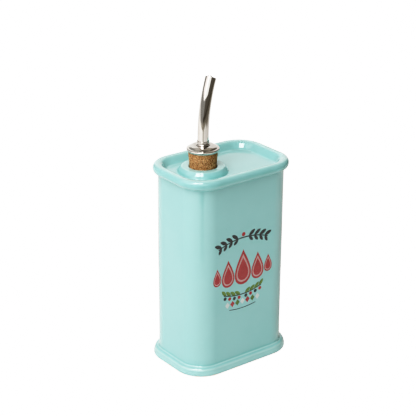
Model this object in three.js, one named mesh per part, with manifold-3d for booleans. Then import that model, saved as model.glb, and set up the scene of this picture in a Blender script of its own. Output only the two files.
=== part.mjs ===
// Ceramic oil can with a cork pourer, in millimetres.
// +Z is up, X runs along the long side, and the origin is the middle of the foot's underside.
import * as THREE from "three";
import { mergeVertices } from "three/addons/utils/BufferGeometryUtils.js";
import Module from "manifold-3d";

// Ceramic walls
const WALL_LENGTH = 94;
const WALL_DEPTH = 63.3;
const CORNER_RADIUS = 18.7;
const CAN_HEIGHT = 164.1;
const WALL_THICKNESS = 5;
const BASE_THICKNESS = 5;
const DECK_THICKNESS = 5;
const CAVITY_FILLET = 4;

// Foot: a skirt that curves out from the wall to a round shoulder, with a flat ring under it
const FOOT_TOP = 8;
const FOOT_WAIST_OUT = 1.7;
const FOOT_WAIST_HEIGHT = 6.6;
const FOOT_SHOULDER_OUT = 4.05;
const FOOT_SHOULDER_HEIGHT = 5.7;
const FOOT_OUT = 4.4;
const FOOT_WIDEST_HEIGHT = 1.5;
const FOOT_EDGE = 1.2;
const FOOT_RING_WIDTH = 9;
const BASE_RECESS = 1.5;

// Rolled rim: round outside, with a slope on its inside that runs down to the sunken deck
const RIM_OUT = 3.95;
const RIM_ROLL = 3.55;
const RIM_HEIGHT = 7.7;
const RIM_FILLET = 1;
const RIM_SLOPE_TOP = 2;
const RIM_SLOPE_FOOT = 7;
const RIM_SLOPE_ROUND = 2.4;
const DECK_DROP = 5.5;
const DECK_FILLET = 1.6;
const WELL_CORNER_EXTRA = 0.6;

// Collar, with sloped sides, and neck
const NECK_INSET = 29.3;
const COLLAR_RADIUS = 19.9;
const COLLAR_KNEE_RADIUS = 18.95;
const COLLAR_KNEE_HEIGHT = 2.1;
const COLLAR_TOP_RADIUS = 16.6;
const COLLAR_HEIGHT = 4.8;
const COLLAR_ROUND = 1;
const COLLAR_KNEE_ROUND = 0.6;
const COLLAR_FILLET = 0.8;
const LIP_RADIUS = 1.6;

// Cork
const CORK_TOP_RADIUS = 11.6;
const CORK_TAPER = 0.085;
const CORK_LENGTH = 27.5;
const CORK_SHOWN = 13;
const CORK_EDGE = 0.7;
const CORK_FIT = 0.3;

// Pourer
const FLANGE_RADIUS = 12.7;
const FLANGE_EDGE_HEIGHT = 1.6;
const FLANGE_EDGE_DEPTH = 1.2;
const FLANGE_DOME_HEIGHT = 3.45;
const FLANGE_FLAT_RADIUS = 5.8;
const FERRULE_FOOT_RADIUS = 5.5;
const FERRULE_NECK_RADIUS = 4.95;
const FERRULE_BEAD_RADIUS = 5.1;
const FERRULE_BEAD_HEIGHT = 1.1;
const FERRULE_HEIGHT = 3.1;
const FERRULE_FOOT_EDGE = 0.3;
const TUBE_RADIUS = 4.3;
const TUBE_WALL = 0.6;
const TUBE_BELOW_CORK = 5;
const BEND_START = 10;
const BEND_RADIUS = 95;
const BEND_ANGLE = THREE.MathUtils.degToRad(27.6);
const SPOUT_HEADING = THREE.MathUtils.degToRad(21.5);
const BREATHER_RADIUS = 1.5;
const BREATHER_WALL = 0.45;
const BREATHER_BELOW_TUBE = 12;
const BREATHER_PAST_TIP = 0.8;

// Clearances between fitted pieces
const TUBE_FIT = 0.3;
const BREATHER_FIT = 0.3;
const STACK_GAP = 0.3;

// How finely round shapes are divided
const CORNER_DIVISIONS = 4;
const ARC_DIVISIONS = 3;
const ROUND_SEGMENTS = 40;
const TUBE_STEPS = 22;

// Places that follow from the sizes above
const coreX = WALL_LENGTH / 2 - CORNER_RADIUS;
const coreY = WALL_DEPTH / 2 - CORNER_RADIUS;
const neckX = NECK_INSET - WALL_LENGTH / 2;
const crestInset = RIM_ROLL - RIM_OUT;
const deckZ = CAN_HEIGHT - DECK_DROP;
const ceilingZ = deckZ - DECK_THICKNESS;
const floorZ = BASE_RECESS + BASE_THICKNESS;
const collarZ = deckZ + COLLAR_HEIGHT;
const corkTopZ = collarZ + CORK_SHOWN;
const corkBottomZ = corkTopZ - CORK_LENGTH;
const seatDepth = CORK_SHOWN + LIP_RADIUS;
const boreRadius = CORK_TOP_RADIUS - CORK_TAPER * seatDepth + CORK_FIT;
const flangeZ = corkTopZ + STACK_GAP;
const ferruleZ = flangeZ + FLANGE_DOME_HEIGHT + STACK_GAP;
const bendZ = flangeZ + BEND_START;
const tubeHole = TUBE_RADIUS + TUBE_FIT;
const tubeBottomZ = corkBottomZ - TUBE_BELOW_CORK;
const breatherBottomZ = tubeBottomZ - BREATHER_BELOW_TUBE;
const breatherOffset = TUBE_RADIUS - TUBE_WALL - BREATHER_FIT - BREATHER_RADIUS;

const quarter = Math.PI / 2;
const wasm = await Module();
wasm.setup();

// Rounded rectangle of the walls, moved outward by a distance, with corners that are wider by an extra
function wallOutline(out, extra) {
  const radius = CORNER_RADIUS + out + extra;
  const x = coreX - extra;
  const y = coreY - extra;
  const outline = new THREE.Path();
  outline.absarc(x, y, radius, 0, quarter, false);
  outline.absarc(-x, y, radius, quarter, 2 * quarter, false);
  outline.absarc(-x, -y, radius, 2 * quarter, 3 * quarter, false);
  outline.absarc(x, -y, radius, 3 * quarter, 4 * quarter, false);
  return outline.getPoints(CORNER_DIVISIONS);
}

// Inside the rim the corners grow wider from the crest down to the deck
function cornerExtra(point) {
  if (point.y < deckZ) {
    return 0;
  }
  const share = (-point.x - crestInset) / (RIM_SLOPE_FOOT - crestInset);
  return WELL_CORNER_EXTRA * THREE.MathUtils.clamp(share, 0, 1);
}

// Body whose side follows a profile of (distance out, height) around the wall outline, with flat ends
function wallSweep(profile) {
  const rings = profile.map((point) => wallOutline(point.x, cornerExtra(point)));
  const count = rings[0].length;
  const positions = [];
  const index = [];
  rings.forEach((ring, level) => {
    ring.forEach((point) => positions.push(point.x, point.y, profile[level].y));
  });
  for (let level = 0; level + 1 < rings.length; level += 1) {
    for (let i = 0; i < count; i += 1) {
      const next = (i + 1) % count;
      const low = level * count;
      const high = low + count;
      index.push(low + i, low + next, high + next);
      index.push(low + i, high + next, high + i);
    }
  }
  const top = (rings.length - 1) * count;
  for (const [a, b, c] of THREE.ShapeUtils.triangulateShape(rings[0], [])) {
    index.push(a, c, b);
  }
  for (const [a, b, c] of THREE.ShapeUtils.triangulateShape(rings[rings.length - 1], [])) {
    index.push(top + a, top + b, top + c);
  }
  const geometry = new THREE.BufferGeometry();
  geometry.setAttribute("position", new THREE.Float32BufferAttribute(positions, 3));
  geometry.setIndex(index);
  return geometry;
}

// Round body from a closed profile of (radius, height), turned about the neck's axis
function turned(path, segments) {
  const points = path.getPoints(ARC_DIVISIONS);
  const geometry = new THREE.LatheGeometry([...points, points[0].clone()], segments);
  geometry.rotateX(quarter);
  return geometry;
}

function toSolid(geometry) {
  const plain = geometry.clone();
  plain.deleteAttribute("normal");
  plain.deleteAttribute("uv");
  const merged = mergeVertices(plain, 1e-4);
  const triangles = [];
  const raw = merged.index.array;
  for (let i = 0; i < raw.length; i += 3) {
    const [a, b, c] = [raw[i], raw[i + 1], raw[i + 2]];
    if (a !== b && b !== c && c !== a) {
      triangles.push(a, b, c);
    }
  }
  const mesh = new wasm.Mesh({
    numProp: 3,
    vertProperties: new Float32Array(merged.attributes.position.array),
    triVerts: new Uint32Array(triangles),
  });
  const solid = new wasm.Manifold(mesh);
  return solid.volume() < 0 ? new wasm.Manifold(flipped(mesh)) : solid;
}

function flipped(mesh) {
  const triangles = new Uint32Array(mesh.triVerts);
  for (let i = 0; i < triangles.length; i += 3) {
    [triangles[i + 1], triangles[i + 2]] = [triangles[i + 2], triangles[i + 1]];
  }
  return new wasm.Mesh({ numProp: 3, vertProperties: mesh.vertProperties, triVerts: triangles });
}

function toGeometry(solid) {
  const mesh = solid.getMesh();
  const geometry = new THREE.BufferGeometry();
  geometry.setAttribute("position", new THREE.Float32BufferAttribute(mesh.vertProperties, 3));
  geometry.setIndex(new THREE.Uint32BufferAttribute(mesh.triVerts, 1));
  geometry.computeVertexNormals();
  return geometry;
}

// Carries a path on through corners, each eased by its own length, to the last point given
function easedPath(path, corners, eases) {
  eases.forEach((ease, i) => {
    const [before, corner, after] = corners.slice(i, i + 3);
    const near = before.clone().sub(corner).setLength(ease).add(corner);
    const far = after.clone().sub(corner).setLength(ease).add(corner);
    path.lineTo(near.x, near.y);
    path.quadraticCurveTo(corner.x, corner.y, far.x, far.y);
  });
  const last = corners[corners.length - 1];
  path.lineTo(last.x, last.y);
}

// Outside of the can from the underside, round the foot, up the wall, over the rim and down to the deck
function outsideProfile() {
  const path = new THREE.Path();
  const ringInner = FOOT_OUT - FOOT_RING_WIDTH;
  const waistSlope = (FOOT_WAIST_HEIGHT - FOOT_SHOULDER_HEIGHT) / (FOOT_SHOULDER_OUT - FOOT_WAIST_OUT);
  const creaseZ = FOOT_WAIST_HEIGHT + waistSlope * FOOT_WAIST_OUT;
  path.moveTo(ringInner - BASE_RECESS - 1, BASE_RECESS);
  path.lineTo(ringInner - BASE_RECESS, BASE_RECESS);
  path.quadraticCurveTo(ringInner, BASE_RECESS, ringInner, 0);
  path.lineTo(FOOT_OUT - FOOT_EDGE, 0);
  path.absarc(FOOT_OUT - FOOT_EDGE, FOOT_EDGE, FOOT_EDGE, -quarter, 0, false);
  path.lineTo(FOOT_OUT, FOOT_WIDEST_HEIGHT);
  path.quadraticCurveTo(FOOT_SHOULDER_OUT, FOOT_SHOULDER_HEIGHT, FOOT_WAIST_OUT, FOOT_WAIST_HEIGHT);
  path.quadraticCurveTo(0, creaseZ, 0, FOOT_TOP);

  // The rim's roll is part of an ellipse, and a short curve leads into it from the wall
  const halfWidth = RIM_ROLL;
  const halfHeight = RIM_HEIGHT / 2;
  const rimX = RIM_OUT - halfWidth;
  const rimZ = CAN_HEIGHT - halfHeight;
  const start = -Math.acos(Math.min(0.95, (RIM_FILLET - rimX) / halfWidth));
  const touchX = rimX + halfWidth * Math.cos(start);
  const touchZ = rimZ + halfHeight * Math.sin(start);
  const slope = -(halfHeight * Math.cos(start)) / (halfWidth * Math.sin(start));
  const cornerZ = touchZ - slope * touchX;
  path.lineTo(0, cornerZ - RIM_FILLET);
  path.quadraticCurveTo(0, cornerZ, touchX, touchZ);
  path.absellipse(rimX, rimZ, halfWidth, halfHeight, start, quarter, false, 0);
  const corners = [
    new THREE.Vector2(rimX, CAN_HEIGHT),
    new THREE.Vector2(-RIM_SLOPE_TOP, CAN_HEIGHT),
    new THREE.Vector2(-RIM_SLOPE_FOOT, deckZ),
    new THREE.Vector2(-RIM_SLOPE_FOOT - DECK_FILLET - 1, deckZ),
  ];
  easedPath(path, corners, [RIM_SLOPE_ROUND, DECK_FILLET]);
  return path.getPoints(ARC_DIVISIONS);
}

// The hollow inside, parallel to the walls
function cavityProfile() {
  const path = new THREE.Path();
  const side = -WALL_THICKNESS;
  const round = CAVITY_FILLET;
  path.moveTo(side - round - 1, floorZ);
  path.lineTo(side - round, floorZ);
  path.absarc(side - round, floorZ + round, round, -quarter, 0, false);
  path.lineTo(side, ceilingZ - round);
  path.absarc(side - round, ceilingZ - round, round, 0, quarter, false);
  path.lineTo(side - round - 1, ceilingZ);
  return path.getPoints(ARC_DIVISIONS - 1);
}

function collarSolid() {
  const sunk = 0.05;
  const base = deckZ - sunk;
  const middle = DECK_THICKNESS / 2;
  const path = new THREE.Path();
  const corners = [
    new THREE.Vector2(COLLAR_RADIUS + COLLAR_FILLET, base),
    new THREE.Vector2(COLLAR_RADIUS, base),
    new THREE.Vector2(COLLAR_KNEE_RADIUS, deckZ + COLLAR_KNEE_HEIGHT),
    new THREE.Vector2(COLLAR_TOP_RADIUS, collarZ),
    new THREE.Vector2(0, collarZ),
  ];
  path.moveTo(0, base - middle);
  path.lineTo(COLLAR_RADIUS + COLLAR_FILLET, base - middle);
  easedPath(path, corners, [COLLAR_FILLET, COLLAR_KNEE_ROUND, COLLAR_ROUND]);
  return toSolid(turned(path, ROUND_SEGMENTS)).translate([neckX, 0, 0]);
}

// Space of the neck: a straight bore whose upper edge is rounded
function boreSolid() {
  const path = new THREE.Path();
  path.moveTo(0, ceilingZ - 1);
  path.lineTo(boreRadius, ceilingZ - 1);
  path.absarc(boreRadius + LIP_RADIUS, collarZ - LIP_RADIUS, LIP_RADIUS, 2 * quarter, quarter, true);
  path.lineTo(boreRadius + LIP_RADIUS, collarZ + 1);
  path.lineTo(0, collarZ + 1);
  return toSolid(turned(path, ROUND_SEGMENTS)).translate([neckX, 0, 0]);
}

function ceramicGeometry() {
  const outside = toSolid(wallSweep(outsideProfile())).add(collarSolid());
  const hollow = toSolid(wallSweep(cavityProfile()));
  return toGeometry(outside.subtract(hollow).subtract(boreSolid()));
}

// Cork, about its own axis, with its top at height 0
function corkGeometry() {
  const bottomRadius = CORK_TOP_RADIUS - CORK_TAPER * CORK_LENGTH;
  const path = new THREE.Path();
  path.moveTo(tubeHole, -CORK_LENGTH);
  path.lineTo(bottomRadius - CORK_EDGE, -CORK_LENGTH);
  path.lineTo(bottomRadius + CORK_TAPER * CORK_EDGE, CORK_EDGE - CORK_LENGTH);
  path.lineTo(CORK_TOP_RADIUS - CORK_TAPER * CORK_EDGE, -CORK_EDGE);
  path.lineTo(CORK_TOP_RADIUS - CORK_EDGE, 0);
  path.lineTo(tubeHole, 0);
  return toGeometry(toSolid(turned(path, ROUND_SEGMENTS)));
}

// Cap plate with a rolled edge and a domed top, with its underside at height 0
function flangeGeometry() {
  const half = FLANGE_EDGE_HEIGHT / 2;
  const edgeX = FLANGE_RADIUS - FLANGE_EDGE_DEPTH;
  const path = new THREE.Path();
  path.moveTo(tubeHole, 0);
  path.lineTo(edgeX, 0);
  path.absellipse(edgeX, half, FLANGE_EDGE_DEPTH, half, -quarter, quarter, false, 0);
  const browX = (edgeX + FLANGE_FLAT_RADIUS) / 2;
  path.quadraticCurveTo(browX, FLANGE_DOME_HEIGHT, FLANGE_FLAT_RADIUS, FLANGE_DOME_HEIGHT);
  path.lineTo(tubeHole, FLANGE_DOME_HEIGHT);
  return toGeometry(toSolid(turned(path, ROUND_SEGMENTS)));
}

// Ferrule with a flared foot, a narrow neck and a thin bead on top, with its foot at height 0
function ferruleGeometry() {
  const beadHalf = FERRULE_BEAD_HEIGHT / 2;
  const neckTop = FERRULE_HEIGHT - FERRULE_BEAD_HEIGHT;
  const path = new THREE.Path();
  path.moveTo(tubeHole, 0);
  path.lineTo(FERRULE_FOOT_RADIUS, 0);
  path.lineTo(FERRULE_FOOT_RADIUS, FERRULE_FOOT_EDGE);
  path.quadraticCurveTo(FERRULE_NECK_RADIUS, FERRULE_FOOT_EDGE, FERRULE_NECK_RADIUS, neckTop);
  path.quadraticCurveTo(FERRULE_BEAD_RADIUS, neckTop, FERRULE_BEAD_RADIUS, neckTop + beadHalf);
  path.quadraticCurveTo(FERRULE_BEAD_RADIUS, FERRULE_HEIGHT, FERRULE_NECK_RADIUS, FERRULE_HEIGHT);
  path.lineTo(tubeHole, FERRULE_HEIGHT);
  return toGeometry(toSolid(turned(path, ROUND_SEGMENTS)));
}

// Centre line of the spout: straight up, then an arc in the plane of +X and +Z, then straight past the end.
// An offset moves it to the outer side of the bend.
class SpoutLine extends THREE.Curve {
  constructor(offset, bottom, past) {
    super();
    this.offset = offset;
    this.bottom = bottom;
    this.radius = BEND_RADIUS + offset;
    this.straight = -bottom;
    this.arc = this.radius * BEND_ANGLE;
    this.past = past;
  }

  getPoint(t, target = new THREE.Vector3()) {
    const along = t * (this.straight + this.arc + this.past);
    const turn = THREE.MathUtils.clamp((along - this.straight) / this.radius, 0, BEND_ANGLE);
    const low = Math.min(along, this.straight);
    const past = Math.max(along - this.straight - this.arc, 0);
    const x = BEND_RADIUS - this.radius * Math.cos(turn) + past * Math.sin(turn);
    const z = this.bottom + low + this.radius * Math.sin(turn) + past * Math.cos(turn);
    return target.set(x, 0, z);
  }
}

function tubeGeometry(radius, wall, line, divisions) {
  const ring = new THREE.Shape();
  ring.absarc(0, 0, radius, 0, 4 * quarter, false);
  const hole = new THREE.Path();
  hole.absarc(0, 0, radius - wall, 0, 4 * quarter, true);
  ring.holes.push(hole);
  const swept = new THREE.ExtrudeGeometry(ring, {
    curveSegments: divisions,
    steps: TUBE_STEPS,
    extrudePath: line,
    bevelEnabled: false,
  });
  return toGeometry(toSolid(swept));
}

function piece(name, geometry, color, roughness, metalness) {
  const material = new THREE.MeshStandardMaterial({ color, roughness, metalness });
  const mesh = new THREE.Mesh(geometry, material);
  mesh.name = name;
  return mesh;
}

const can = new THREE.Group();
can.name = "oil_can";
can.add(piece("ceramic_body", ceramicGeometry(), 0x9fd2cf, 0.12, 0));

const stopper = new THREE.Group();
stopper.name = "stopper";
stopper.position.set(neckX, 0, 0);
can.add(stopper);

const cork = piece("cork_stopper", corkGeometry(), 0xa9794c, 0.85, 0);
cork.position.z = corkTopZ;
stopper.add(cork);

const pourer = new THREE.Group();
pourer.name = "pourer";
pourer.rotation.z = SPOUT_HEADING;
stopper.add(pourer);

const flange = piece("pourer_flange", flangeGeometry(), 0xc9cbcc, 0.12, 1);
flange.position.z = flangeZ;
pourer.add(flange);

const ferrule = piece("spout_ferrule", ferruleGeometry(), 0xc9cbcc, 0.14, 1);
ferrule.position.z = ferruleZ;
pourer.add(ferrule);

const spoutLine = new SpoutLine(0, tubeBottomZ - bendZ, 0);
const spout = piece("spout_tube", tubeGeometry(TUBE_RADIUS, TUBE_WALL, spoutLine, 12), 0xcdd0d1, 0.1, 1);
spout.position.z = bendZ;
pourer.add(spout);

const breatherLine = new SpoutLine(breatherOffset, breatherBottomZ - bendZ, BREATHER_PAST_TIP);
const breatherShape = tubeGeometry(BREATHER_RADIUS, BREATHER_WALL, breatherLine, 6);
const breather = piece("breather_tube", breatherShape, 0xb8babb, 0.25, 1);
breather.position.z = bendZ;
pourer.add(breather);

export default can;
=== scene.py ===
import math
import bmesh
import bpy
from mathutils import Matrix, Vector, noise


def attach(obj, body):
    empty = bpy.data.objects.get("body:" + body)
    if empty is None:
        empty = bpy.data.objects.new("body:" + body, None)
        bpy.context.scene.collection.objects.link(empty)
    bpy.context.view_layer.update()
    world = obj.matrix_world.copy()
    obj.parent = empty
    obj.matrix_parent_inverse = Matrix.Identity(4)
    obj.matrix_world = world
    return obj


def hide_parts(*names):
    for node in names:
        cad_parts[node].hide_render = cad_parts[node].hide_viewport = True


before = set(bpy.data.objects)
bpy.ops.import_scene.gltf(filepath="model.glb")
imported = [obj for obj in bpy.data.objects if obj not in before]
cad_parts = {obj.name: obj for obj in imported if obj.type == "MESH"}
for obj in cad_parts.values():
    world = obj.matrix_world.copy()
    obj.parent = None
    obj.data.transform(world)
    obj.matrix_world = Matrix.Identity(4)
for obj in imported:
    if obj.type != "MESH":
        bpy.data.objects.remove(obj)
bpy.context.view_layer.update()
scene = bpy.context.scene
quarter = math.pi / 2
mergeDistance = 0.002
print("frame loaded:", ", ".join(sorted(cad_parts)))


# Pieces are drawn in millimetres and scaled to metres when they are done
def finishPiece(name, bm, materials, body, node=None):
    bmesh.ops.scale(bm, vec=(0.001, 0.001, 0.001), verts=bm.verts)
    for face in bm.faces:
        face.smooth = True
    mesh = bpy.data.meshes.new(name)
    bm.to_mesh(mesh)
    bm.free()
    for material in materials:
        mesh.materials.append(material)
    piece = bpy.data.objects.new(name, mesh)
    scene.collection.objects.link(piece)
    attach(piece, body)
    if node:
        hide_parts(node)
    print("made", name, "with", len(mesh.polygons), "faces")
    return piece


def drawChain(bm, points, closed=False):
    verts = [bm.verts.new(p) for p in points]
    edges = [bm.edges.new(pair) for pair in zip(verts, verts[1:])]
    if closed:
        edges.append(bm.edges.new((verts[-1], verts[0])))
    return verts + edges


# Points of an elliptical arc, without its first one
def arcPoints(cx, cz, rx, rz, start, end, steps):
    turns = [start + (end - start) * i / steps for i in range(1, steps + 1)]
    return [(cx + rx * math.cos(t), cz + rz * math.sin(t)) for t in turns]


# Points of a curve pulled towards one corner, without its first one
def bowPoints(p, corner, q, steps):
    points = []
    for i in range(1, steps + 1):
        t = i / steps
        a, b, c = (1 - t) ** 2, 2 * t * (1 - t), t * t
        points.append((a * p[0] + b * corner[0] + c * q[0], a * p[1] + b * corner[1] + c * q[1]))
    return points


# Points of a straight line, without its first one
def linePoints(p, q, steps):
    shares = [i / steps for i in range(1, steps + 1)]
    return [(p[0] + (q[0] - p[0]) * t, p[1] + (q[1] - p[1]) * t) for t in shares]


def pushEdges(bm, edges, vec):
    made = bmesh.ops.extrude_edge_only(bm, edges=edges)["geom"]
    verts = [g for g in made if isinstance(g, bmesh.types.BMVert)]
    bmesh.ops.translate(bm, verts=verts, vec=vec)
    fresh = set(verts)
    return verts, [g for g in made if isinstance(g, bmesh.types.BMEdge) and set(g.verts) <= fresh]


def turnProfile(bm, points, centre, steps, closed):
    geom = drawChain(bm, [(centre[0] + r, centre[1], z) for r, z in points], closed)
    bmesh.ops.spin(bm, geom=geom, cent=(centre[0], centre[1], 0), axis=(0, 0, 1), angle=4 * quarter,
                   steps=steps, use_merge=True, use_duplicate=False)


def closeShell(bm):
    bmesh.ops.remove_doubles(bm, verts=bm.verts, dist=mergeDistance)
    bmesh.ops.recalc_face_normals(bm, faces=bm.faces)


def smoothStep(low, high, x):
    t = min(1, max(0, (x - low) / (high - low)))
    return t * t * (3 - 2 * t)


def bell(x, middle, width):
    return math.exp(-((x - middle) / width) ** 2)


# Nodes: a value that is a socket is linked, any other is set on the socket
def addNode(tree, kind, inputs=None, **settings):
    node = tree.nodes.new(kind)
    for key, value in settings.items():
        setattr(node, key, value)
    for key, value in (inputs or {}).items():
        if isinstance(value, bpy.types.NodeSocket):
            tree.links.new(value, node.inputs[key])
        else:
            node.inputs[key].default_value = value
    return node


def addMath(tree, operation, a, b=0.0, clamp=False):
    return addNode(tree, "ShaderNodeMath", {0: a, 1: b}, operation=operation, use_clamp=clamp).outputs[0]


def addVectorMath(tree, operation, a, b=(0, 0, 0)):
    return addNode(tree, "ShaderNodeVectorMath", {0: a, 1: b}, operation=operation).outputs["Value"]


def mixColour(tree, factor, a, b):
    return addNode(tree, "ShaderNodeMix", {0: factor, 6: a, 7: b}, data_type="RGBA").outputs[2]


def addRange(tree, value, low, high, toLow, toHigh, smooth=False):
    kind = "SMOOTHSTEP" if smooth else "LINEAR"
    inputs = {"Value": value, "From Min": low, "From Max": high, "To Min": toLow, "To Max": toHigh}
    return addNode(tree, "ShaderNodeMapRange", inputs, interpolation_type=kind, clamp=True).outputs[0]


def startGroup(name, inputs, outputs):
    tree = bpy.data.node_groups.new(name, "ShaderNodeTree")
    for label, value in inputs.items():
        kind = "NodeSocketVector" if label == "Vector" else "NodeSocketFloat"
        socket = tree.interface.new_socket(name=label, in_out="INPUT", socket_type=kind)
        if label != "Vector":
            socket.default_value = value
    for label in outputs:
        tree.interface.new_socket(name=label, in_out="OUTPUT", socket_type="NodeSocketFloat")
    return tree, tree.nodes.new("NodeGroupInput").outputs, tree.nodes.new("NodeGroupOutput").inputs


# Soft uneven patches, from Low to High
def makeMottle():
    inputs = {"Vector": 0, "Scale": 40, "Detail": 3, "Low": 0, "High": 1}
    tree, into, out = startGroup("softMottle", inputs, ["Value"])
    cloud = addNode(tree, "ShaderNodeTexNoise", {"Vector": into["Vector"], "Scale": into["Scale"],
                                                 "Detail": into["Detail"], "Roughness": 0.55})
    value = addRange(tree, cloud.outputs[0], 0.3, 0.7, into["Low"], into["High"], True)
    tree.links.new(value, out["Value"])
    return tree


# Scattered small dots, of which Share are kept
def makeSpecks():
    inputs = {"Vector": 0, "Scale": 900, "Size": 0.2, "Share": 0.2}
    tree, into, out = startGroup("fineSpecks", inputs, ["Mask"])
    cells = addNode(tree, "ShaderNodeTexVoronoi", {"Vector": into["Vector"], "Scale": into["Scale"]})
    pick = addNode(tree, "ShaderNodeSeparateColor", {0: cells.outputs["Color"]})
    reach = addMath(tree, "MULTIPLY", into["Size"], addRange(tree, pick.outputs[1], 0, 1, 0.5, 1.0))
    dot = addMath(tree, "LESS_THAN", cells.outputs["Distance"], reach)
    kept = addMath(tree, "LESS_THAN", pick.outputs[0], into["Share"])
    tree.links.new(addMath(tree, "MULTIPLY", dot, kept), out["Mask"])
    return tree


# Polishing marks and smudges of handled metal
def makePolish():
    inputs = {"Vector": 0, "Scale": 300, "Low": 0.05, "High": 0.2}
    tree, into, out = startGroup("polishMarks", inputs, ["Roughness", "Height"])
    stretch = addNode(tree, "ShaderNodeMapping", {"Vector": into["Vector"], "Scale": (6, 6, 0.5)})
    lines = addNode(tree, "ShaderNodeTexNoise", {"Vector": stretch.outputs[0], "Scale": into["Scale"],
                                                 "Detail": 4, "Roughness": 0.7})
    cloud = addNode(tree, "ShaderNodeTexNoise", {"Vector": into["Vector"], "Scale": 120, "Detail": 3})
    smudge = addMath(tree, "MULTIPLY", addRange(tree, cloud.outputs[0], 0.42, 0.68, 0, 1, True), 0.7)
    both = addMath(tree, "ADD", smudge, addMath(tree, "MULTIPLY", lines.outputs[0], 0.3))
    tree.links.new(addRange(tree, both, 0, 1, into["Low"], into["High"]), out["Roughness"])
    tree.links.new(lines.outputs[0], out["Height"])
    return tree


mottle, specks, polish = makeMottle(), makeSpecks(), makePolish()


def startMaterial(name, sockets):
    material = bpy.data.materials.new(name)
    material.use_nodes = True
    tree = material.node_tree
    shader = tree.nodes["Principled BSDF"]
    for key, value in sockets.items():
        shader.inputs[key].default_value = value
    where = addNode(tree, "ShaderNodeTexCoord").outputs["Object"]
    return material, tree, shader, where


def useGroup(tree, group, inputs):
    return addNode(tree, "ShaderNodeGroup", inputs, node_tree=group).outputs


def addMottle(tree, where, scale, detail, low, high):
    inputs = {"Vector": where, "Scale": scale, "Detail": detail, "Low": low, "High": high}
    return useGroup(tree, mottle, inputs)["Value"]


def addSpecks(tree, where, scale, size, share):
    inputs = {"Vector": where, "Scale": scale, "Size": size, "Share": share}
    return useGroup(tree, specks, inputs)["Mask"]


def addBump(tree, shader, height, strength, distance):
    bump = addNode(tree, "ShaderNodeBump", {"Height": height, "Strength": strength, "Distance": distance})
    tree.links.new(bump.outputs[0], shader.inputs["Normal"])


def readLayer(tree, name):
    return addNode(tree, "ShaderNodeAttribute", attribute_name=name).outputs["Fac"]


glazeLook = {
    "body": (0.322, 0.605, 0.598, 1), "pooledAndShaded": (0.130, 0.470, 0.445, 1), "thin": (0.540, 0.760, 0.730, 1),
    "speck": (0.10, 0.30, 0.28, 1), "bareClay": (0.640, 0.500, 0.350, 1), "bareRoughness": 0.8,
    "wipedLine": (0.0006, 0.0009), "wander": 0.0004,
    "coat": {"Coat IOR": 1.6, "Coat Roughness": 0.012, "Specular IOR Level": 0.15},
}


# Faint orange peel of a fired coat
def addPeel(tree, shader, where):
    addBump(tree, shader, addMottle(tree, where, 330, 1, 0, 1), 0.03, 0.0004)


def makeGlaze():
    material, tree, shader, where = startMaterial("aquaGlaze", glazeLook["coat"])
    patches = addMottle(tree, where, 30, 3, -0.05, 0.07)
    # painted shade: the pooled teal also darkens creases, the underside of the rim and the rim's side,
    # where shade and dark reflections fall
    poolAndShade = addMath(tree, "ADD", readLayer(tree, "glazePoolAndShade"), patches, True)
    colour = mixColour(tree, poolAndShade, glazeLook["body"], glazeLook["pooledAndShaded"])
    # painted light: the pale thin-glaze colour also brightens the deck, the rim's crest and the foot's
    # upper faces
    colour = mixColour(tree, readLayer(tree, "glazeThinAndLit"), colour, glazeLook["thin"])
    dots = addMath(tree, "MULTIPLY", addSpecks(tree, where, 420, 0.10, 0.05), 0.35)
    colour = mixColour(tree, dots, colour, glazeLook["speck"])
    # the foot ring is wiped clean of glaze along an uneven line
    height = addNode(tree, "ShaderNodeSeparateXYZ", {0: where}).outputs[2]
    wander = addMottle(tree, where, 160, 2, -glazeLook["wander"], glazeLook["wander"])
    bare = addRange(tree, addMath(tree, "ADD", height, wander), *glazeLook["wipedLine"], 1, 0, True)
    tree.links.new(mixColour(tree, bare, colour, glazeLook["bareClay"]), shader.inputs["Base Color"])
    sheen = addMottle(tree, where, 55, 4, 0.03, 0.07)
    dry = addMath(tree, "MULTIPLY", bare, glazeLook["bareRoughness"])
    tree.links.new(addMath(tree, "MAXIMUM", sheen, dry), shader.inputs["Roughness"])
    tree.links.new(addMath(tree, "SUBTRACT", 1.0, bare), shader.inputs["Coat Weight"])
    addPeel(tree, shader, where)
    return material


# Print colours under the coat: fresh and worn
inks = {
    "red": ("printRed", (0.340, 0.022, 0.024, 1), (0.420, 0.050, 0.045, 1)),
    "blush": ("printBlush", (0.560, 0.330, 0.320, 1), (0.480, 0.380, 0.370, 1)),
    "leaf": ("printLeaf", (0.090, 0.170, 0.022, 1), (0.130, 0.220, 0.050, 1)),
    "leafLight": ("printLeafLight", (0.140, 0.240, 0.040, 1), (0.180, 0.280, 0.080, 1)),
    "dark": ("printDark", (0.012, 0.014, 0.014, 1), (0.035, 0.045, 0.044, 1)),
    "white": ("printWhite", (0.640, 0.690, 0.670, 1), (0.560, 0.660, 0.640, 1)),
}


def makeInk(name, colour, worn):
    material, tree, shader, where = startMaterial(name, {**glazeLook["coat"], "Coat Weight": 1.0})
    shade = mixColour(tree, addMottle(tree, where, 260, 4, 0, 0.35), colour, worn)
    holes = addMath(tree, "MULTIPLY", addSpecks(tree, where, 1300, 0.22, 0.10), 0.5)
    tree.links.new(mixColour(tree, holes, shade, glazeLook["body"]), shader.inputs["Base Color"])
    tree.links.new(addMottle(tree, where, 90, 4, 0.04, 0.10), shader.inputs["Roughness"])
    addPeel(tree, shader, where)
    return material


corkLook = {
    "tones": [(0.00, (0.210, 0.095, 0.042, 1)), (0.25, (0.530, 0.255, 0.118, 1)),
              (0.65, (0.720, 0.395, 0.195, 1)), (1.00, (0.860, 0.560, 0.310, 1))],
    "groove": (0.070, 0.032, 0.014, 1), "grooveDepth": 0.75, "pit": (0.035, 0.016, 0.008, 1),
}


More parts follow.
